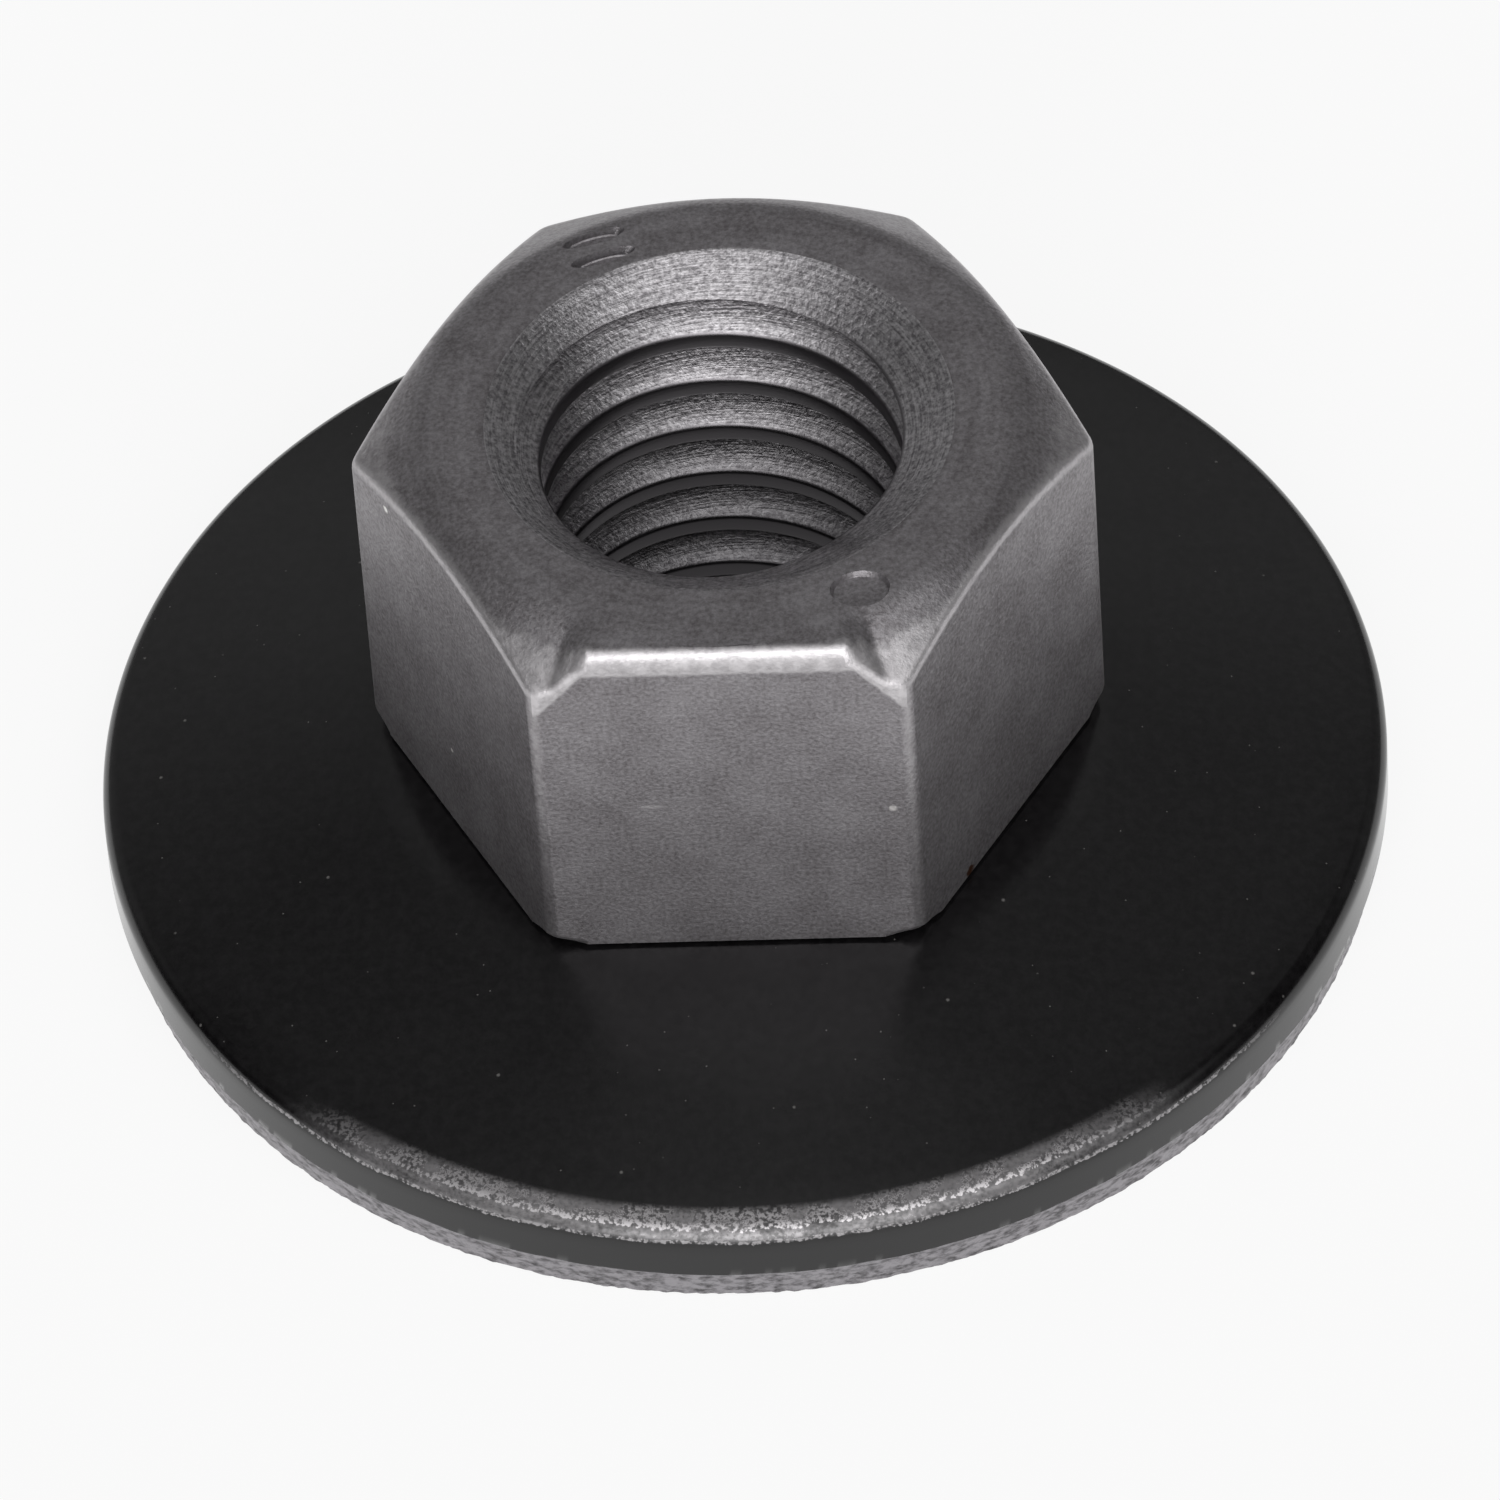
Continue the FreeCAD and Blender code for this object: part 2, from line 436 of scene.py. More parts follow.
@dataclass(frozen=True)
class HexNut:
    """The hexagon nut in one piece with its collar, bored, tapped and flared out underneath.

    Its front chamfer, unlike the rest, is steep: front_drop down by front_set_back in. It is so as
    far as front_half to either side and fades out at front_end, and its rubbed edge, with painted
    highlight along it, ends at front_tip.
    """

    thread_d: float = 8.0
    pitch: float = 1.25
    minor_drop_per_pitch: float = 1.0
    crest_height_at_back: float = 6.31
    crest_bend: float = 0.12
    countersink_oversize: float = 0.72
    countersink_angle: float = 120.0
    countersink_bend: float = 0.3
    head_height: float = 7.8
    corner_bend: float = 0.34
    top_inset: float = 0.48
    top_angle: float = 35.0
    top_bend: float = 1.25
    front_drop: float = 0.36
    front_set_back: float = 0.16
    front_half: float = 2.5
    front_end: float = 3.1
    front_tip: float = 3.24
    front_tip_drop: float = 1.24
    front_levelling: float = 0.97
    foot_cut: float = 0.32
    foot_angle: float = 30.0
    edge_softness: float = 0.12
    collar_wall: float = 0.96
    skirt_wall: float = 0.64
    skirt_straight: float = 0.24
    flare_angle: float = 45.0
    flare_reach: float = 0.64
    lip_bend: float = 0.12
    head_steps: int = 144
    thread_steps: int = 120
    stamps: tuple[Stamp, ...] = (
        Stamp(east=-2.42, north=4.72, length=1.0, width=0.3, turned=20.0, depth=0.17),
        Stamp(east=-2.22, north=4.2, length=1.0, width=0.26, turned=20.0, depth=0.17),
        Stamp(east=2.63, north=-4.4, length=1.0, width=0.76, turned=8.0),
    )

    @property
    def top(self) -> float:
        """Return the height of the top face."""
        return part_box("hex_nut")[1].z / MM

    @property
    def lip_foot(self) -> float:
        """Return the height of the flare's lowest edge."""
        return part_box("hex_nut")[0].z / MM

    @property
    def flat_r(self) -> float:
        """Return the distance from the axis to a wrench flat."""
        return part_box("hex_nut")[1].y / MM

    @property
    def corner_r(self) -> float:
        """Return the distance from the axis to the hexagon's sharp corner."""
        return self.flat_r / math.cos(math.pi / 6)

    @property
    def bearing(self) -> float:
        """Return the height of the head's bearing face."""
        return self.top - self.head_height

    @property
    def minor_r(self) -> float:
        """Return the radius of the thread's crests."""
        return (self.thread_d - self.minor_drop_per_pitch * self.pitch) / 2

    @property
    def countersink_r(self) -> float:
        """Return the countersink's radius at the top face."""
        return (self.thread_d + self.countersink_oversize) / 2

    @property
    def countersink_rise(self) -> float:
        """Return how far a countersink rises for each millimetre of radius."""
        return 1 / math.tan(math.radians(self.countersink_angle / 2))

    @property
    def collar_r(self) -> float:
        """Return the collar's outer radius."""
        return self.thread_d / 2 + self.collar_wall

    @property
    def top_face_r(self) -> float:
        """Return the radius of the flat part of the top."""
        return self.flat_r - self.top_inset

    def body_section(self) -> list[Corner]:
        """Work out the turned outline: head, collar and flare, with both countersinks started.

        Returns:
            Its corners, from the axis at the top outwards, down and back to the axis.
        """
        pilot_r = self.minor_r - 0.5
        beyond_r = self.corner_r + 0.5
        foot_face_r = self.corner_r - self.foot_cut
        top_fall = math.tan(math.radians(self.top_angle))
        foot_rise = math.tan(math.radians(self.foot_angle))
        skirt_r = self.collar_r - self.skirt_wall
        angle = math.radians(self.flare_angle)
        lip_r = self.collar_r + self.flare_reach
        inner_lip_r = lip_r - self.skirt_wall * math.cos(angle)
        lip_z = self.lip_foot + self.skirt_wall * math.sin(angle)
        leave_z = lip_z + (lip_r - self.collar_r) / math.tan(angle)
        inner_leave_z = self.lip_foot + (inner_lip_r - skirt_r) / math.tan(angle)
        skirt_top = inner_leave_z + self.skirt_straight
        top_pilot = self.top - (self.countersink_r - pilot_r) * self.countersink_rise
        foot_pilot = skirt_top + (skirt_r - pilot_r) * self.countersink_rise
        return [
            Corner(0, top_pilot),
            Corner(pilot_r, top_pilot, rows=5),
            Corner(self.countersink_r, self.top, bend=self.countersink_bend, bend_rows=4),
            Corner(self.top_face_r, self.top, bend=self.top_bend, bend_rows=8, rows=3),
            Corner(beyond_r, self.top - (beyond_r - self.top_face_r) * top_fall),
            Corner(beyond_r, self.bearing + (beyond_r - foot_face_r) * foot_rise),
            Corner(foot_face_r, self.bearing, rows=2),
            Corner(self.collar_r, self.bearing, bend=0.07, bend_rows=2, rows=2),
            Corner(self.collar_r, leave_z, bend=0.24, bend_rows=3),
            Corner(lip_r, lip_z, bend=self.lip_bend, bend_rows=3),
            Corner(inner_lip_r, self.lip_foot),
            Corner(skirt_r, inner_leave_z, bend=0.24, bend_rows=3),
            Corner(skirt_r, skirt_top),
            Corner(pilot_r, foot_pilot),
            Corner(0, foot_pilot),
        ]

    def forge_body(self) -> Piece:
        """Make the hexagon and cut it to the turned outline, with softened edges and stamped marks.

        Returns:
            The nut's body, before its thread is cut.
        """
        overrun = 1.0
        low, high = self.lip_foot - overrun, self.top + overrun
        bpy.ops.mesh.primitive_cylinder_add(
            vertices=6,
            radius=self.corner_r * MM,
            depth=(high - low) * MM,
            location=metres(0, 0, (high + low) / 2),
            rotation=(0, 0, math.radians(30)),
        )
        body = bpy.context.object
        body.name = "nut_forging"
        bpy.ops.object.transform_apply(location=True, rotation=True, scale=True)
        bpy.ops.object.mode_set(mode="EDIT")
        select_edges(body, lambda start, end: abs(start.z - end.z) > self.head_height * MM)
        across_bend = self.corner_bend * math.tan(math.pi / 6)
        bpy.ops.mesh.bevel(offset=across_bend * MM, segments=5, profile=0.5)
        bpy.ops.object.mode_set(mode="OBJECT")
        cut(body, turn("turned_outline", self.body_section(), self.head_steps), Cut.KEEP_SHARED)

        merge_points(body)
        bpy.ops.mesh.dissolve_limited(angle_limit=math.radians(0.1))
        self.steepen_front(body)
        least_r = (self.flat_r - self.front_set_back - 0.01) * MM
        least_z = (self.bearing + 0.01) * MM

        def on_head(start: Vector, end: Vector) -> bool:
            """Tell whether an edge is one of the head's top or foot edges."""
            outside = start.xy.length > least_r and end.xy.length > least_r
            return outside and max(start.z, end.z) > least_z

        select_edges(body, on_head)
        bpy.ops.mesh.bevel(offset=self.edge_softness * MM, segments=4, profile=0.5, clamp_overlap=False)
        bpy.ops.object.mode_set(mode="OBJECT")
        for stamp in self.stamps:
            cut(body, stamp.punch(self.top), Cut.REMOVE)
        return body

    @property
    def front_fall(self) -> float:
        """Return how far the front edge's rub and painted highlight fall per millimetre beyond its level
        part.
        """
        return (self.front_tip_drop - self.front_drop) / (self.front_tip - self.front_half)

    def steepen_front(self, body: Piece) -> None:
        """Make the front's chamfer narrow and steep as far as its two corners, which stay turned.

        Args:
            body: the nut's body, which is in edit mode.
        """
        step = math.tau / self.head_steps
        slope = math.radians(self.top_angle)
        ring_r = self.top_face_r + self.top_bend * math.tan(slope / 2) * math.cos(slope)
        within_ring = ring_r - 0.02
        least_z = self.top - 1.2
        slack = 0.05
        bpy.ops.mesh.select_mode(type="VERT")
        shape = bmesh.from_edit_mesh(body.data)

        def scale(line: float, least: float, most: float, flat: float, upright: float) -> None:
            """Scale the top's corners that lie on one line about the top's middle.

            Args:
                line: the line's angle from the front's middle, to either side.
                least: the radius that they lie beyond.
                most: the radius that they lie within.
                flat: how many times farther out they go.
                upright: how many times farther down they go.
            """
            bpy.ops.mesh.select_all(action="DESELECT")
            for corner in shape.verts:
                x, y, z = corner.co / MM
                near = abs(abs(math.atan2(x, -y)) - line) < step / 4
                if near and least < math.hypot(x, y) < most and z > least_z:
                    corner.select_set(True)
            bpy.ops.transform.resize(value=(flat, flat, upright), center_override=metres(0, 0, self.top))

        for number in range(round(math.pi / 6 / step)):
            line = number * step
            across = self.flat_r * math.tan(line)
            share = (self.front_end - across) / (self.front_end - self.front_half)
            share = min(max(share, 0), 1)
            edge_r = self.flat_r / math.cos(line)
            drop = (edge_r - self.top_face_r) * math.tan(slope)
            wider = (self.flat_r - self.front_set_back) / math.cos(line) / ring_r - 1
            level = 1 - self.front_levelling * share
            scale(line, edge_r - slack, edge_r + slack, 1, 1 + share * (self.front_drop / drop - 1))
            scale(line, within_ring, edge_r - slack, 1 + share * wider, level)
            scale(line, self.collar_r, within_ring, 1, level)

    def make_tap(self) -> Piece:
        """Make the tap: one pitch of the thread's profile wound upwards through the whole nut.

        Returns:
            The tap, closed at both ends.
        """
        flank = (self.thread_d / 2 - self.minor_r) * math.tan(math.radians(30))
        root = self.pitch / 8
        crest_half = (self.pitch - root) / 2 - flank
        low, high = self.lip_foot - TAP_OVERRUN, self.top + TAP_OVERRUN
        start_angle_rise = self.pitch * 90 / 360
        crest = self.bearing + self.crest_height_at_back - start_angle_rise
        crest -= self.pitch * (math.ceil((crest - low) / self.pitch) + 1)
        turns = math.ceil((high - crest) / self.pitch)
        profile = [
            Corner(self.minor_r, crest),
            Corner(self.minor_r, crest + crest_half, self.crest_bend, 3, rows=3),
            Corner(self.thread_d / 2, crest + crest_half + flank),
            Corner(self.thread_d / 2, crest + crest_half + flank + root, rows=3),
            Corner(self.minor_r, crest + self.pitch - crest_half, self.crest_bend, 3),
            Corner(self.minor_r, crest + self.pitch),
        ]
        tap = draw_line("tap", half_section(profile, closed=False))
        wind(tap, self.thread_steps, self.pitch, turns)
        merge_points(tap)
        for height, upwards in ((low, -1), (high, 1)):
            bpy.ops.mesh.select_all(action="SELECT")
            bpy.ops.mesh.bisect(
                plane_co=metres(0, 0, height),
                plane_no=(0, 0, upwards),
                use_fill=True,
                clear_outer=True,
                threshold=MERGE / 10,
            )
        bpy.ops.mesh.select_all(action="SELECT")
        bpy.ops.mesh.normals_make_consistent(inside=False)
        bpy.ops.object.mode_set(mode="OBJECT")
        return tap

    def build(self) -> Piece:
        """Build the nut's mesh.

        Returns:
            The finished mesh, at its place on the washer.
        """
        nut = self.forge_body()
        cut(nut, self.make_tap(), Cut.REMOVE)
        nut.name = "hex_nut_dressed"
        nut.data.name = nut.name
        smooth(nut, 32)
        return nut


@dataclass(frozen=True)
class ConicalWasher:
    """The dished washer: stamped from thick strip, with a sheared band and a torn band at its rim."""

    thickness: float = 1.88
    dish: float = 1.2
    hole_r: float = 5.16
    hole_break: float = 0.2
    hole_foot_chamfer: float = 0.48
    seat_width: float = 1.0
    seat_bend: float = 4.8
    edge_bend: float = 0.4
    torn_height: float = 0.76
    torn_taper: float = 0.16
    rim_land: float = 0.24
    torn_depth: float = 0.06
    torn_grain: float = 0.18
    steps: int = 1080

    @property
    def seat(self) -> float:
        """Return the height of the flat ring that carries the nut."""
        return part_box("conical_washer")[1].z / MM

    @property
    def edge_r(self) -> float:
        """Return the washer's outer radius."""
        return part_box("conical_washer")[1].x / MM

    @property
    def seat_r(self) -> float:
        """Return the radius where the flat ring bends down into the cone."""
        return self.hole_r + self.hole_foot_chamfer + self.seat_width

    @property
    def slope(self) -> float:
        """Return how far the cone falls for each millimetre of radius."""
        return self.dish / (self.edge_r - self.seat_r)

    @property
    def edge_top(self) -> float:
        """Return the height where the cone would meet the outer wall."""
        return self.seat - self.dish

    def section(self) -> list[Corner]:
        """Work out the closed half section.

        Returns:
            Its corners, from the hole's foot round under the rim and back over the top.
        """
        rim_r = self.edge_r - self.torn_taper
        under = self.seat - self.thickness
        under_cone_r = rim_r - self.rim_land
        under_bend_r = under_cone_r - under / self.slope
        return [
            Corner(self.hole_r, under + self.hole_foot_chamfer),
            Corner(self.hole_r + self.hole_foot_chamfer, under),
            Corner(under_bend_r, under, self.seat_bend - self.thickness, 5, rows=4),
            Corner(under_cone_r, 0, rows=2),
            Corner(rim_r, 0, rows=11),
            Corner(self.edge_r, self.torn_height, rows=4),
            Corner(self.edge_r, self.edge_top, self.edge_bend, 8, rows=6),
            Corner(self.seat_r, self.seat, self.seat_bend, 6),
            Corner(self.hole_r + self.hole_break, self.seat),
            Corner(self.hole_r, self.seat - self.hole_break),
        ]

    def tear_edge(self, washer: Piece) -> None:
        """Roughen the lower band of the rim, where the blank tore out of the strip.

        Args:
            washer: the turned washer. Its torn band is only ever pushed inwards.
        """
        torn = washer.vertex_groups.new(name="torn_band")
        least_r = (self.edge_r - self.torn_taper - 0.01) * MM
        most_z = (self.torn_height - 0.02) * MM
        places = [
            corner.index
            for corner in washer.data.vertices
            if corner.co.xy.length > least_r and corner.co.z < most_z
        ]
        torn.add(places, 1.0, "REPLACE")
        grain = bpy.data.textures.new("torn_grain", "CLOUDS")
        grain.noise_scale = self.torn_grain * MM
        grain.noise_depth = 2
        apply_modifier(
            washer,
            "DISPLACE",
            texture=grain,
            texture_coords="LOCAL",
            direction="NORMAL",
            mid_level=1.0,
            strength=self.torn_depth * MM,
            vertex_group="torn_band",
        )

    def build(self) -> Piece:
        """Build the washer's mesh.

        Returns:
            The finished mesh.
        """
        washer = turn("conical_washer_dressed", self.section(), self.steps, closed=True)
        washer.data.name = washer.name
        self.tear_edge(washer)
        smooth(washer, 30)
        return washer


@dataclass(frozen=True)
class Fleck:
    """A small spot of another colour on a piece.

    Attributes:
        place: its middle, in millimetres.
        size: its radius.
        colour: its colour.
        stretch: how many times longer it is along X.
    """

    place: Point
    size: float
    colour: str
    stretch: float = 1.0


@dataclass(frozen=True)
class TumbledSteel:
    """Cold-forged steel, tumbled and left plain: matt, dark warm grey, with edges rubbed bright and
    painted highlight along the front edge and the front corners.

    Burnished and coarse are the roughnesses of its two lobes. Mottle, speckle and ring are the
    widths of its patterns, in millimetres. The tumbling's real speckle is finer than that, and is
    drawn as coarse as it needs to show.
    """

    nut: HexNut
    skin: str = "#aba8ab"
    skin_dark: str = "#7c787a"
    rubbed_and_highlight: str = "#d6d3d5"
    burnished: float = 0.32
    coarse: float = 0.66
    coarse_share: float = 0.55
    mottle: float = 1.2
    speckle: float = 0.08
    ring: float = 0.16
    flecks: tuple[Fleck, ...] = (
        Fleck((3.06, -6.0, 6.67), 0.08, "#d8d5d4"),
        Fleck((-1.4, -6.0, 6.87), 0.04, "#b4b1b3", stretch=6.0),
        Fleck((-5.24, -2.93, 5.19), 0.05, "#f0eeec"),
        Fleck((4.34, -4.48, 3.2), 0.13, "#5a3a28"),
        Fleck((-6.2, -1.25, 10.0), 0.08, "#f4f2f0"),
    )

    def material(self) -> bpy.types.Material:
        """Build the material.

        Returns:
            The material of the nut's forged skin.
        """
        material, add = new_material("tumbled_forged_steel")
        place = add("TexCoord", output="Object")
        height = add("SeparateXYZ", (place,), output="Z")
        across = add("VectorMath MULTIPLY", (place, (1, 1, 0)))
        radius = add("VectorMath LENGTH", (across,), output="Value")
        wear_and_highlight = self.wear_and_highlight(add, place, height, radius)
        grain = add(
            "TexNoise", {"Vector": place, "Scale": per_mm(self.speckle), "Detail": 3.0, "Roughness": 0.6}
        )

        # Mottled skin with a fine speckle, as the tumbling leaves it
        mottle = add(
            "TexNoise", {"Vector": place, "Scale": per_mm(self.mottle), "Detail": 5.0, "Roughness": 0.65}
        )
        mottle = add("Math MULTIPLY_ADD", (mottle, 0.55, 0.225))
        mixed = add("Math ADD", (mottle, grain))
        mixed = add("Math ADD", (mixed, self.rings(add, place, radius, height)))
        tone = add("MapRange", (mixed, 0.76, 1.24))
        colour = add("Mix", {0: tone, 6: linear(self.skin_dark), 7: linear(self.skin)}, **BLEND)
        # Rubbed bright edges, with painted highlight along the front edge and the front corners
        colour = add("Mix", {0: wear_and_highlight, 6: colour, 7: linear(self.rubbed_and_highlight)}, **BLEND)
        for fleck in self.flecks:
            offset = add("VectorMath SUBTRACT", (place, metres(*fleck.place)))
            offset = add("VectorMath MULTIPLY", (offset, (1 / fleck.stretch, 1, 1)))
            away = add("VectorMath LENGTH", (offset,), output="Value")
            away = add("Math MULTIPLY_ADD", (grain, 1.2 * fleck.size * MM, away))
            share = add("MapRange", (away, 1.3 * fleck.size * MM, 1.7 * fleck.size * MM, 1.0, 0.0))
            colour = add("Mix", {0: share, 6: colour, 7: linear(fleck.colour)}, **BLEND)
        relief = add("Bump", {"Strength": 0.8, "Distance": 0.012 * MM, "Height": grain})
        lobes = [
            add(
                "BsdfPrincipled",
                {"Base Color": colour, "Metallic": 1.0, "Roughness": roughness, "Normal": relief},
            )
            for roughness in (self.burnished, self.coarse)
        ]
        surface = add("MixShader", (self.coarse_share, lobes[0], lobes[1]))
        add("OutputMaterial", {"Surface": surface})
        return material

    def rings(self, add: AddNode, place: Socket, radius: Socket, height: Socket) -> Socket:
        """Draw the faint rings that the facing tool left on the top.

        Args:
            add: adds a node to the material.
            place: the place on the nut.
            radius: the distance from the thread's axis.
            height: the height above the washer's lower rim plane.

        Returns:
            How much lighter or darker the skin is, near nought away from the top.
        """
        nut = self.nut

        # Fast outwards and slow along the face, so that the noise is drawn out into rings
        fast = add("Math MULTIPLY", (radius, per_mm(self.ring)))
        fast = add("CombineXYZ", {"Z": fast})
        ringed = add("VectorMath MULTIPLY_ADD", (place, (300, 300, 0), fast))
        streaks = add("TexNoise", {"Vector": ringed, "Scale": 1.0, "Detail": 2.0})
        on_top = add("MapRange", (height, (nut.top - 0.4) * MM, (nut.top - 0.1) * MM, 0.0, 0.35))
        centred = add("Math SUBTRACT", (streaks, 0.5))
        return add("Math MULTIPLY", (centred, on_top))

    def wear_and_highlight(self, add: AddNode, place: Socket, height: Socket, radius: Socket) -> Socket:
        """Work out where the nut is rubbed bright, with painted highlight along the front: its top edges,
        its corners and its upright edges.

        Args:
            add: adds a node to the material.
            place: the place on the nut.
            height: the height above the washer's lower rim plane.
            radius: the distance from the thread's axis.

        Returns:
            How much rubbed steel and painted highlight each place has, from 0 to 1.
        """
        nut = self.nut
        east, north = (add("SeparateXYZ", (place,), output=axis) for axis in "XY")

        # Place on the hexagon: how far out along the nearest flat's normal, and how far sideways
        bearing = add("Math ARCTAN2", (north, east))
        turned = add("Math SUBTRACT", (bearing, math.pi / 6))
        off_flat = add("Math WRAP", (turned, math.pi / 6, -math.pi / 6))
        cosine = add("Math COSINE", (off_flat,))
        sine = add("Math SINE", (off_flat,))
        outwards = add("Math MULTIPLY", (radius, cosine))
        sideways = add("Math MULTIPLY", (radius, sine))
        sideways = add("Math ABSOLUTE", (sideways,))

        # Distance from the chamfer's edge, in along the chamfer or down the flat
        fall = math.tan(math.radians(nut.top_angle))
        cone_top = (nut.top + nut.top_face_r * fall) * MM
        cone = add("Math MULTIPLY_ADD", (radius, -fall, cone_top))
        beyond = add("Math SUBTRACT", (sideways, nut.front_half * MM))
        beyond = add("Math MAXIMUM", (beyond, 0.0))
        level_top = (nut.top - nut.front_drop) * MM
        front = add("Math MULTIPLY_ADD", (beyond, -nut.front_fall, level_top))
        is_front = add("Math COMPARE", (bearing, -math.pi / 2, math.pi / 6))
        edge = add("Mix", {0: is_front, 2: cone, 3: front})
        down = add("Math SUBTRACT", (edge, height))
        below = add("Math MAXIMUM", (down, 0.0))
        inwards = add("Math SUBTRACT", (nut.flat_r * MM, outwards))
        from_top_edge = add("Math MULTIPLY_ADD", (below, 1.6, inwards))
        half_flat = nut.flat_r * math.tan(math.pi / 6)
        from_upright = add("Math SUBTRACT", (half_flat * MM, sideways))

        ragged = add("TexNoise", {"Vector": place, "Scale": per_mm(0.3), "Detail": 4.0, "Roughness": 0.6})
        stray = add("Math SUBTRACT", (ragged, 0.5))
        top_place = add("Math MULTIPLY_ADD", (stray, 0.35 * MM, from_top_edge))
        # Painted highlight: the top edge's bright band is wider along the front
        bright_to = add("Math MULTIPLY_ADD", (is_front, 0.08 * MM, 0.05 * MM))
        kept_from = add("Math ADD", (bright_to, 0.17 * MM))
        top_wear_and_highlight = add("MapRange", (top_place, bright_to, kept_from, 1.0, 0.0), **SOFT)
        fading = add("MapRange", (height, nut.bearing * MM, nut.top * MM, 0.12, 0.5))
        upright_place = add("Math MULTIPLY_ADD", (stray, 0.2 * MM, from_upright))
        upright_wear = add("MapRange", (upright_place, 0.04 * MM, 0.17 * MM, fading, 0.0), **SOFT)
        corner_place = add("Math MULTIPLY_ADD", (stray, 0.5 * MM, radius))
        corner_wear_and_highlight = add(
            "MapRange",
            (corner_place, (nut.flat_r + 0.02) * MM, (nut.flat_r + 0.32) * MM, 0.0, 0.85),
            **SOFT,
        )
        on_chamfer = add("MapRange", (down, 0.03 * MM, 0.16 * MM, 1.0, 0.0))
        corner_wear_and_highlight = add("Math MULTIPLY", (corner_wear_and_highlight, on_chamfer))
        # Painted highlight: the corners stay bright at the front and fade towards the back
        in_front = add("MapRange", (north, -4 * MM, 2 * MM, 1.0, 0.1))
        corner_wear_and_highlight = add("Math MULTIPLY", (corner_wear_and_highlight, in_front))
        wear_and_highlight = add("Math MAXIMUM", (top_wear_and_highlight, upright_wear))
        wear_and_highlight = add("Math MAXIMUM", (wear_and_highlight, corner_wear_and_highlight))
        beaded = add("MapRange", (ragged, 0.42, 0.58, 0.62, 1.0))
        return add("Math MULTIPLY", (wear_and_highlight, beaded))


@dataclass(frozen=True)
class CutSteel:
    """Steel left by the tap and the countersink: bright, grainy flanks scored round and round.

    The crests are what the drill left: smoother and burnished, with painted shade that makes them
    darker. Scoring and grain are widths in millimetres. The tool's real scores are finer, and are
    drawn as coarse as they need to show.
    """

    nut: HexNut
    colour: str = "#d6d3d6"
    colour_dark: str = "#868386"
    crest: str = "#747174"
    bore_shade: str = "#3a383a"
    roughness: float = 0.36
    scoring: float = 0.055
    grain: float = 0.1

    def material(self) -> bpy.types.Material:
        """Build the material.

        Returns:
            The material of the hole's cut steel.
        """
        material, add = new_material("tapped_bright_steel")
        nut = self.nut
        place = add("TexCoord", output="Object")
        across = add("VectorMath MULTIPLY", (place, (1, 1, 0)))
        radius = add("VectorMath LENGTH", (across,), output="Value")
        heading = add("VectorMath NORMALIZE", (across,))
        height = add("SeparateXYZ", (place,), output="Z")

        # Coordinates that run slowly round the hole and fast across it, so that scores stay rings
        depth = add("Math ADD", (height, radius))
        fast = add("Math MULTIPLY", (depth, per_mm(self.scoring)))
        fast = add("CombineXYZ", {"Z": fast})
        rings = add("VectorMath MULTIPLY_ADD", (heading, (3, 3, 0), fast))
        scores = add("TexNoise", {"Vector": rings, "Scale": 1.0, "Detail": 2.0})
        grain = add(
            "TexNoise", {"Vector": place, "Scale": per_mm(self.grain), "Detail": 3.0, "Roughness": 0.7}
        )
        scored = add("Math MULTIPLY_ADD", (scores, 0.5, 0.25))
        rough = add("Math ADD", (scored, grain))
        tone = add("MapRange", (rough, 0.84, 1.16))
        colour = add("Mix", {0: tone, 6: linear(self.colour_dark), 7: linear(self.colour)}, **BLEND)
        on_crest = add("MapRange", (radius, (nut.minor_r + 0.02) * MM, (nut.minor_r + 0.06) * MM, 1.0, 0.0))
        # Painted shade: the crests are darker than the flanks
        colour = add("Mix", {0: on_crest, 6: colour, 7: linear(self.crest)}, **BLEND)
        # Painted shade: the bore grows darker towards its depth
        shade = add("MapRange", (height, (nut.top - 6.0) * MM, (nut.top - 1.5) * MM, 0.35, 1.0))
        colour = add("Mix", {0: shade, 6: linear(self.bore_shade), 7: colour}, **BLEND)
        coarse = add("MapRange", (on_crest, 0.0, 1.0, 0.9, 0.12))
        relief = add("Bump", {"Strength": coarse, "Distance": 0.018 * MM, "Height": rough})
        surface = add(
            "BsdfPrincipled",
            {"Base Color": colour, "Metallic": 1.0, "Roughness": self.roughness, "Normal": relief},
        )
        add("OutputMaterial", {"Surface": surface})
        return material


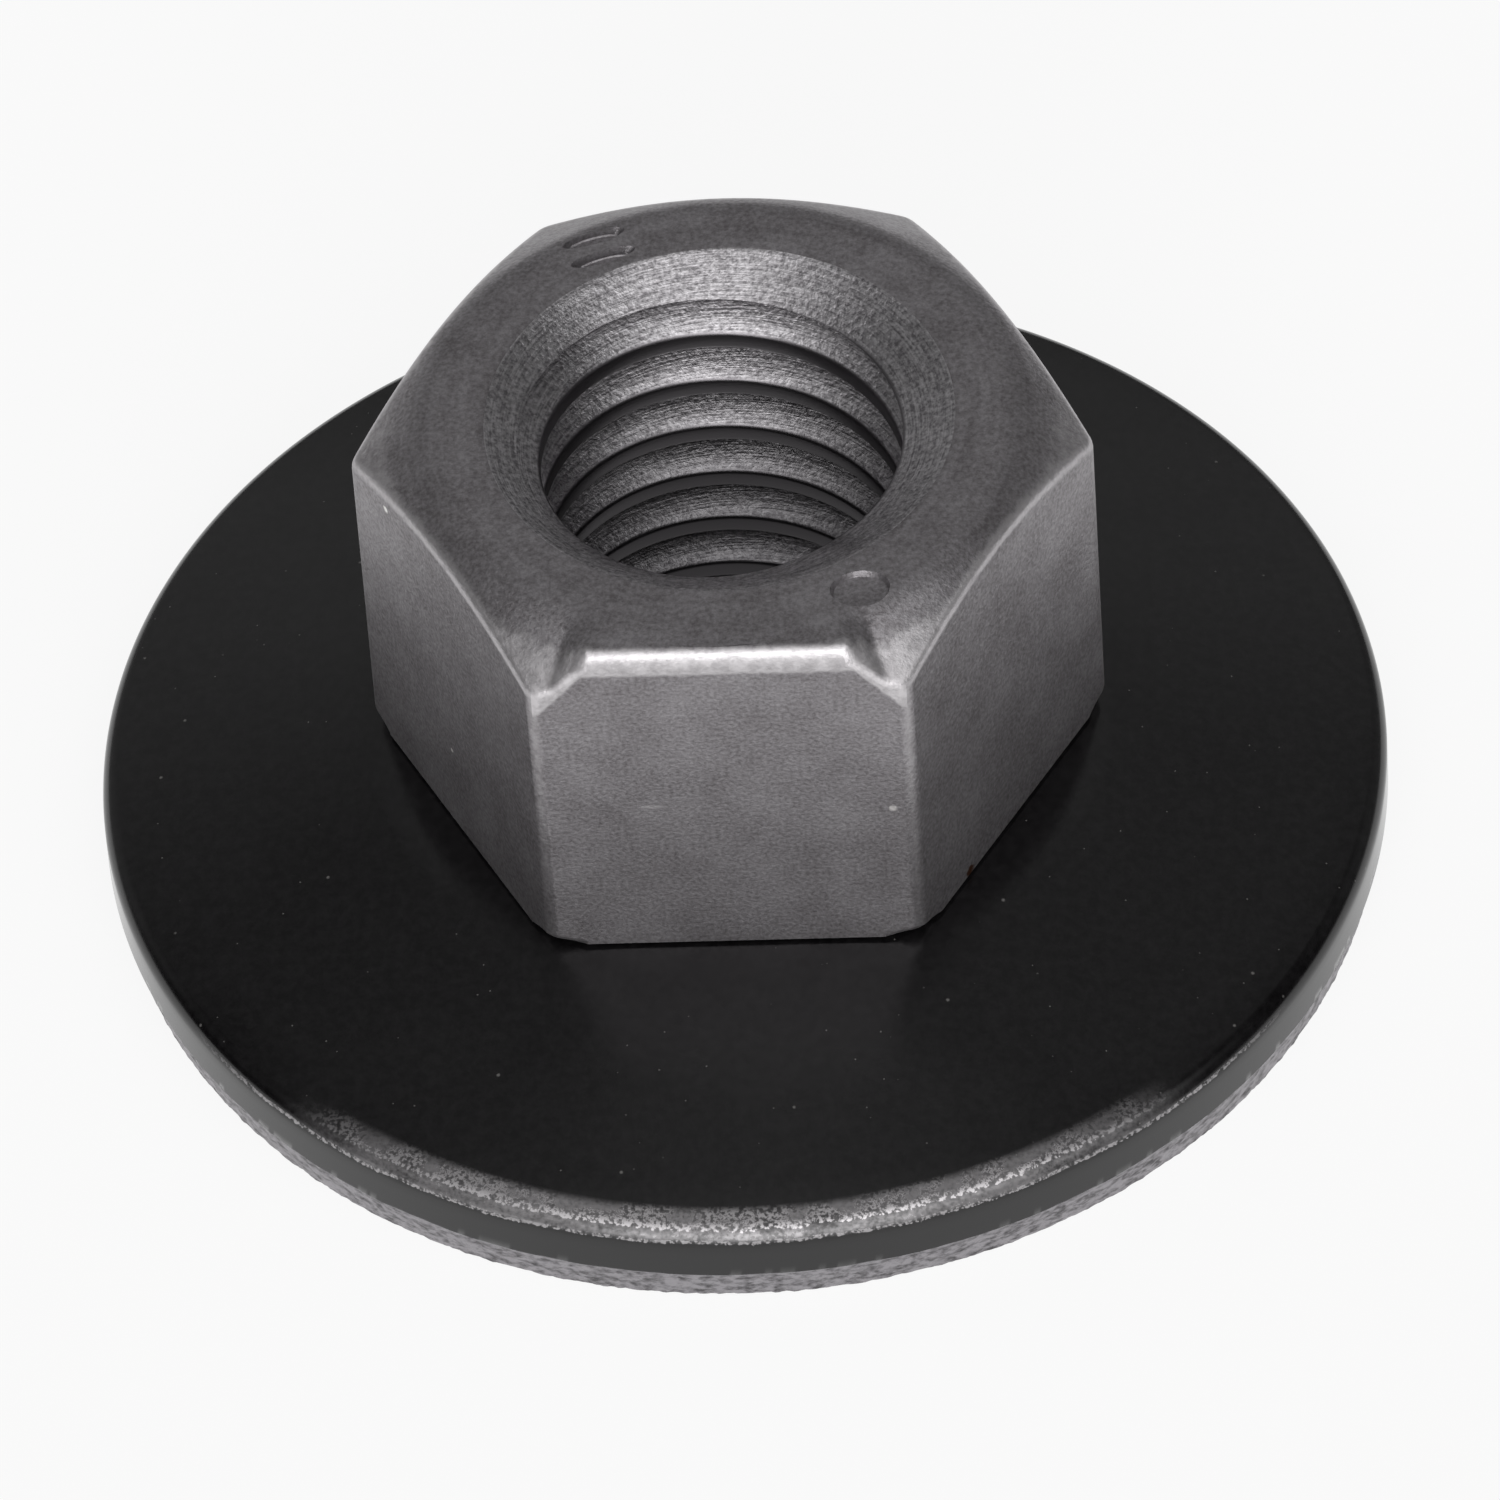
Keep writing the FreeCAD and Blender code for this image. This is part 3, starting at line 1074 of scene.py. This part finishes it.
@dataclass(frozen=True)
class BlackOxide:
    """Black oxide over stamped steel, oiled: a deep, clean gloss with specks of dust on it.

    The rounded edge is rubbed through to grainy bare steel along the front, where painted highlight
    also lies on it. Each of the painted highlight lines on that band has the upward share of the
    normal where it lies, how far north it runs and how strong it is.
    """

    washer: ConicalWasher
    skin: str = "#0a090a"
    bloom: str = "#161516"
    dust: str = "#8a8886"
    rubbed_and_highlight: str = "#c6c3c5"
    roughness: float = 0.2
    index: float = 1.5
    worn_highlight_lines: tuple[tuple[float, float, float], ...] = ((0.9, -8.8, 1.0), (0.34, -6.6, 0.6))

    def material(self) -> bpy.types.Material:
        """Build the material.

        Returns:
            The material of the washer's black faces.
        """
        material, add = new_material("oiled_black_oxide")
        place = add("TexCoord", output="Object")
        smear = add("TexNoise", {"Vector": place, "Scale": per_mm(2.4), "Detail": 4.0})
        wear_and_highlight = self.wear_and_highlight(add, place)
        gloss = add("MapRange", (smear, 0.3, 0.7, self.roughness - 0.04, self.roughness + 0.06))
        gloss = add("Math MULTIPLY_ADD", (wear_and_highlight, 0.15, gloss))

        # The oxide's crystals are too fine to see: their bloom is drawn as coarse as it needs to show
        crystals = add(
            "TexNoise", {"Vector": place, "Scale": per_mm(0.2), "Detail": 5.0, "Roughness": 0.72}
        )
        bloomed = add("MapRange", (crystals, 0.38, 0.66))
        film = add("Mix", {0: bloomed, 6: linear(self.skin), 7: linear(self.bloom)}, **BLEND)
        colour = add("Mix", {0: self.specks(add, place), 6: film, 7: linear(self.dust)}, **BLEND)
        # Rubbed bare steel, with painted highlight along the front
        colour = add("Mix", {0: wear_and_highlight, 6: colour, 7: linear(self.rubbed_and_highlight)}, **BLEND)
        surface = add(
            "BsdfPrincipled",
            {"Base Color": colour, "Metallic": wear_and_highlight, "Roughness": gloss, "IOR": self.index},
        )
        add("OutputMaterial", {"Surface": surface})
        return material

    def specks(self, add: AddNode, place: Socket) -> Socket:
        """Scatter fine dust.

        Args:
            add: adds a node to the material.
            place: the place on the washer.

        Returns:
            How much dust covers each place, from 0 to 1.
        """
        dusty = 0.0
        for spacing, size in ((0.9, 0.03), (0.4, 0.015)):
            away = add("TexVoronoi", {"Vector": place, "Scale": per_mm(spacing)}, output="Distance")
            speck = add("MapRange", (away, 0.6 * size / spacing, 1.4 * size / spacing, 0.45, 0.0))
            dusty = add("Math MAXIMUM", (dusty, speck))
        return dusty

    def wear_and_highlight(self, add: AddNode, place: Socket) -> Socket:
        """Work out where the rounded edge is rubbed through, and where painted highlight lies along the
        front.

        Args:
            add: adds a node to the material.
            place: the place on the washer.

        Returns:
            How far each place is rubbed, from 0 to 1.
        """
        washer = self.washer
        across = add("VectorMath MULTIPLY", (place, (1, 1, 0)))
        radius = add("VectorMath LENGTH", (across,), output="Value")
        north = add("SeparateXYZ", (place,), output="Y")
        facing = add("NewGeometry", output="Normal")
        upwards = add("SeparateXYZ", (facing,), output="Z")
        outer = add(
            "MapRange",
            (
                radius,
                (washer.edge_r - washer.edge_bend - 0.25) * MM,
                (washer.edge_r - washer.edge_bend) * MM,
            ),
            **SOFT,
        )
        lower = add("MapRange", (upwards, 0.2, 0.5), **SOFT)
        # Painted highlight: the band is kept to the front, where the rounded edge faces the light
        front = add("MapRange", (north, -11.0 * MM, -8.4 * MM, 1.0, 0.0), **SOFT)
        band = add("Math MULTIPLY", (outer, lower))
        band = add("Math MULTIPLY", (band, front))

        # The bared steel's grain, which is finer than this, is drawn as coarse as it needs to show
        grain = add("TexNoise", {"Vector": place, "Scale": per_mm(0.08), "Detail": 3.0, "Roughness": 0.6})
        patches = add("TexNoise", {"Vector": place, "Scale": per_mm(0.9), "Detail": 3.0})
        sparse = add("MapRange", (grain, 0.42, 0.56))
        mixed = add("Math ADD", (grain, patches))
        bared = add("MapRange", (mixed, 0.75, 1.25, 0.08, 0.5))
        wear_and_highlight = add("Math MULTIPLY", (band, bared))

        # Painted highlight: brighter ragged lines along the band's limits, placed by which way the surface
        # faces; the lower one runs on farther
        stray = add("Math SUBTRACT", (mixed, 1.0))
        wandered = add("Math MULTIPLY_ADD", (stray, 0.3, upwards))
        for facing_up, reach, most in self.worn_highlight_lines:
            line = add("Math COMPARE", (wandered, facing_up, 0.09))
            farther = add("MapRange", (north, (reach - 2.0) * MM, reach * MM, most, 0.0))
            for share in (farther, outer, sparse):
                line = add("Math MULTIPLY", (line, share))
            wear_and_highlight = add("Math MAXIMUM", (wear_and_highlight, line))
        return wear_and_highlight


@dataclass(frozen=True)
class ShearedEdge:
    """The washer's outer wall: a burnished black band over a torn band of bare, pitted steel."""

    washer: ConicalWasher
    band: str = "#100f10"
    torn: str = "#9d9a9e"
    pit: str = "#565456"
    index: float = 1.5

    def material(self) -> bpy.types.Material:
        """Build the material.

        Returns:
            The material of the washer's outer wall.
        """
        material, add = new_material("sheared_black_edge")
        washer = self.washer
        place = add("TexCoord", output="Object")
        height = add("SeparateXYZ", (place,), output="Z")
        wander = add("TexNoise", {"Vector": place, "Scale": per_mm(0.9), "Detail": 4.0})
        shift = add("Math SUBTRACT", (wander, 0.5))
        level = add("Math MULTIPLY_ADD", (shift, 0.16 * MM, height))
        torn = add(
            "MapRange",
            (level, (washer.torn_height - 0.02) * MM, (washer.torn_height + 0.02) * MM, 1.0, 0.0),
        )
        lip = add("MapRange", (level, (washer.torn_height - 0.06) * MM, (washer.torn_height - 0.02) * MM))

        # Pits drawn out round the rim, as the strip tore along its grain
        drawn = add("VectorMath MULTIPLY", (place, (0.55, 0.55, 1.0)))
        grain = add("TexNoise", {"Vector": drawn, "Scale": per_mm(0.13), "Detail": 4.0, "Roughness": 0.6})
        pits = add("MapRange", (grain, 0.34, 0.58))
        pits = add("Math MAXIMUM", (pits, lip))
        bare = add("Mix", {0: pits, 6: linear(self.pit), 7: linear(self.torn)}, **BLEND)
        colour = add("Mix", {0: torn, 6: linear(self.band), 7: bare}, **BLEND)
        gloss = add("MapRange", (torn, 0.0, 1.0, 0.14, 0.45))
        relief_depth = add("Math MULTIPLY", (torn, 0.9))
        relief = add("Bump", {"Strength": relief_depth, "Distance": 0.035 * MM, "Height": grain})
        surface = add(
            "BsdfPrincipled",
            {
                "Base Color": colour,
                "Metallic": torn,
                "Roughness": gloss,
                "IOR": self.index,
                "Normal": relief,
            },
        )
        add("OutputMaterial", {"Surface": surface})
        return material


def dress_nut(nut: HexNut) -> Piece:
    """Build the nut and give each face its finish.

    Args:
        nut: the nut's sizes.

    Returns:
        The dressed nut.
    """
    piece = nut.build()
    piece.data.materials.clear()
    piece.data.materials.append(TumbledSteel(nut).material())
    piece.data.materials.append(CutSteel(nut).material())
    most_r = (nut.countersink_r + 0.02) * MM
    least_z = (nut.lip_foot + SKIRT_SKIN) * MM
    corners = piece.data.vertices
    for face in piece.data.polygons:
        places = [corners[index].co for index in face.vertices]
        inside = all(place.xy.length < most_r and place.z > least_z for place in places)
        face.material_index = 1 if inside else 0
    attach(piece, "nut")
    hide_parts("hex_nut")
    return piece


def dress_washer(washer: ConicalWasher) -> Piece:
    """Build the washer and give each face its finish.

    Args:
        washer: the washer's sizes.

    Returns:
        The dressed washer.
    """
    piece = washer.build()
    piece.data.materials.clear()
    piece.data.materials.append(BlackOxide(washer).material())
    piece.data.materials.append(ShearedEdge(washer).material())
    least_r = (washer.edge_r - washer.torn_taper - washer.rim_land - 0.05) * MM
    most_z = (washer.edge_top - washer.edge_bend) * MM
    for face in piece.data.polygons:
        outside = face.center.xy.length > least_r and face.center.z < most_z
        face.material_index = 1 if outside else 0
    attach(piece, "washer")
    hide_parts("conical_washer")
    return piece


@dataclass(frozen=True)
class PhotoCamera:
    """The camera as the photograph was taken: a long lens, high in front of the object.

    Elevation, swing and roll are in degrees. Aside and lowered shift the view, in millimetres.
    """

    elevation: float = 47.594
    swing: float = 3.651
    roll: float = -4.155
    distance: float = 293.22
    lens: float = 373.7
    aim_height: float = 3.117
    aside: float = 0.1865
    lowered: float = 0.9011

    def build(self) -> None:
        """Set up the camera and make it the scene's own."""
        data = bpy.data.cameras.new("photo_camera")
        data.lens = self.lens
        data.clip_start = 10 * MM
        data.clip_end = 10.0
        camera = bpy.data.objects.new("photo_camera", data)
        bpy.context.scene.collection.objects.link(camera)
        turned = (
            Matrix.Rotation(math.radians(self.swing), 4, "Z")
            @ Matrix.Rotation(math.radians(90 - self.elevation), 4, "X")
            @ Matrix.Rotation(math.radians(self.roll), 4, "Z")
        )
        offset = turned @ Vector(metres(self.aside, -self.lowered, self.distance))
        place = Vector(metres(0, 0, self.aim_height)) + offset
        camera.matrix_world = Matrix.Translation(place) @ turned
        bpy.context.scene.camera = camera


@dataclass(frozen=True)
class Glow:
    """A soft round light painted on the surround.

    Attributes:
        around: its direction round the object, in degrees from the front towards the right.
        up: its height in the sky, in degrees.
        level: how bright its middle is, where 1 is white.
    """

    around: float
    up: float
    level: float

    def towards(self) -> Vector:
        """Return the direction of its middle."""
        around, up = math.radians(self.around), math.radians(self.up)
        return Vector((math.sin(around) * math.cos(up), -math.cos(around) * math.cos(up), math.sin(up)))


@dataclass(frozen=True)
class Studio:
    """Plain pale floor in a tent of soft light."""

    floor_size: float = 4000.0
    floor_colour: str = "#f4f4f4"
    glow_reach: float = 32.0
    glows: tuple[Glow, ...] = (
        Glow(0, 12, 2.87),
        Glow(0, 35, 1.46),
        Glow(0, 58, 0.28),
        Glow(0, 80, 0.56),
        Glow(180, 70, 0.12),
        Glow(180, 45, 0.21),
        Glow(180, 20, 0.15),
        Glow(45, 20, 0.21),
        Glow(45, 50, 1.11),
        Glow(-45, 50, 0.45),
        Glow(-90, 50, 0.07),
        Glow(135, 20, 0.18),
        Glow(-135, 20, 0.27),
    )

    def build(self) -> None:
        """Set up the floor, the surround and the colour view."""
        bpy.context.scene.view_settings.view_transform = "Standard"
        self.lay_floor()
        self.paint_surround()

    def lay_floor(self) -> None:
        """Lay the floor under the washer's rim."""
        bpy.ops.mesh.primitive_plane_add(size=self.floor_size * MM, location=(0, 0, 0))
        floor = bpy.context.object
        floor.name = "floor"
        material, add = new_material("pale_paper_floor")
        camera = add("LightPath", output="Is Camera Ray")
        mirror = add("LightPath", output="Is Glossy Ray")
        clear = add("LightPath", output="Is Transmission Ray")
        mirrored = add("Math MAXIMUM", (mirror, clear))
        seen_share = add("Math MULTIPLY", (camera, 0.88))
        share = add("Math MAXIMUM", (seen_share, mirrored))
        # Painted shadow: the floor's glow is dimmed to 0.4 under the washer
        place = add("TexCoord", output="Object")
        away = add("VectorMath LENGTH", (place,), output="Value")
        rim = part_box("conical_washer")[1].x
        strength = add("MapRange", (away, 0.92 * rim, 0.98 * rim, 0.4))
        paper = add("BsdfDiffuse", {"Color": linear(self.floor_colour)})
        glow = add("Emission", {"Color": (1, 1, 1, 1), "Strength": strength})
        surface = add("MixShader", (share, paper, glow))
        add("OutputMaterial", {"Surface": surface})
        floor.data.materials.append(material)

    def paint_surround(self) -> None:
        """Paint the surround: white to the camera, and a tent of soft lights to the object."""
        world = bpy.data.worlds.new("soft_light_tent")
        world.use_nodes = True
        world.node_tree.nodes.clear()
        add = partial(add_node, world.node_tree)
        direction = add("TexCoord", output="Generated")
        level = 0.0
        for glow in self.glows:
            facing = add("VectorMath DOT_PRODUCT", (direction, glow.towards()), output="Value")
            share = add(
                "MapRange",
                (
                    facing,
                    math.cos(math.radians(self.glow_reach)),
                    math.cos(math.radians(self.glow_reach / 3)),
                    0.0,
                    glow.level,
                ),
                **SOFT,
            )
            level = add("Math ADD", (level, share))
        around = add("Background", {"Color": (1, 1, 1, 1), "Strength": level})
        white = add("Background", {"Color": (1, 1, 1, 1), "Strength": 1.0})
        camera = add("LightPath", output="Is Camera Ray")
        surface = add("MixShader", (camera, around, white))
        add("OutputWorld", {"Surface": surface})
        bpy.context.scene.world = world


def main() -> None:
    """Build the studio and both pieces, and report each piece."""
    logging.basicConfig(level=logging.INFO, format="%(message)s")
    PhotoCamera().build()
    Studio().build()
    for piece in (dress_washer(ConicalWasher()), dress_nut(HexNut())):
        log.info("%s: %d faces", piece.name, len(piece.data.polygons))


if __name__ == "__main__":
    main()
